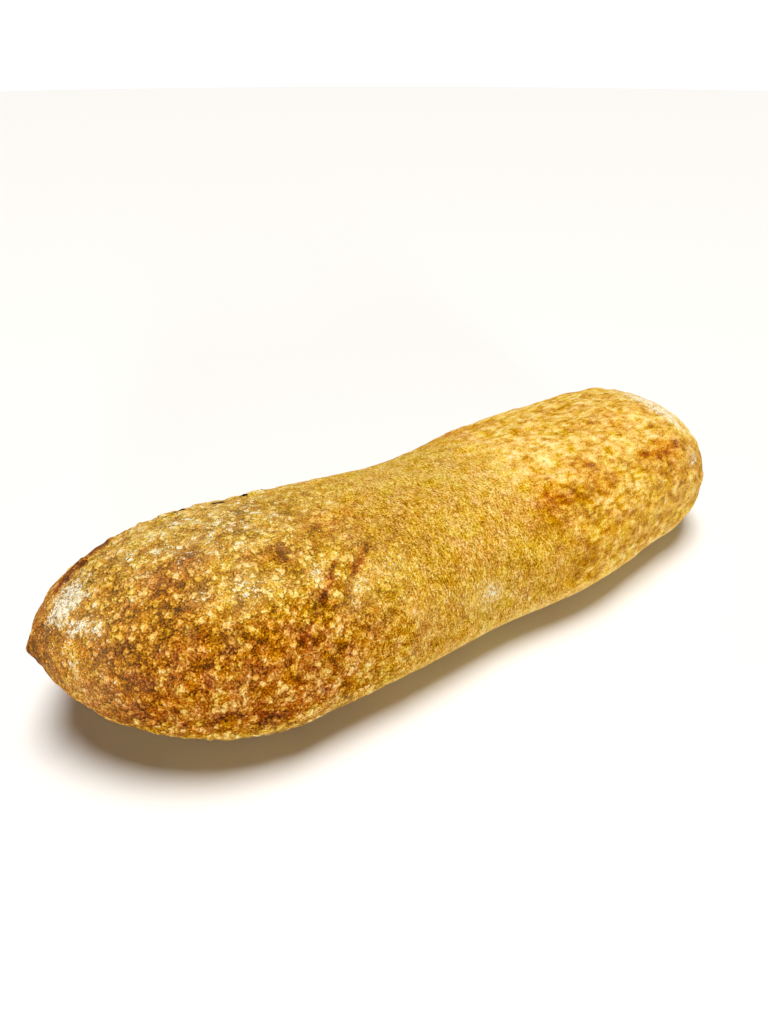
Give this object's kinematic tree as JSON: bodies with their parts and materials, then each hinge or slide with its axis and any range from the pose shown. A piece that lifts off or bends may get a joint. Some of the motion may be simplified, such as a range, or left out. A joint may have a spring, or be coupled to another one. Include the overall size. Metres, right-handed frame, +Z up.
{
  "type": "ciabatta loaf",
  "caption": "Long whole ciabatta loaf with a pebbled golden-brown crust, a pinched near tip, a shallow waist and a blunt far end, lying on its flat underside.",
  "frame": {"origin": "on the surface the loaf rests on, under the middle of its box", "axes": "+X along the loaf from the pinched near tip to the blunt far end, +Z up from the flat underside to the crest, +Y across toward the back"},
  "size_m": [0.312, 0.1066, 0.0621],
  "materials": {
    "crust": "matt golden-brown baked crust, darker and pebbled toward the near tip, with patches of white flour"
  },
  "bodies": {
    "root": {"loaf": "crust"}
  },
  "joints": []
}
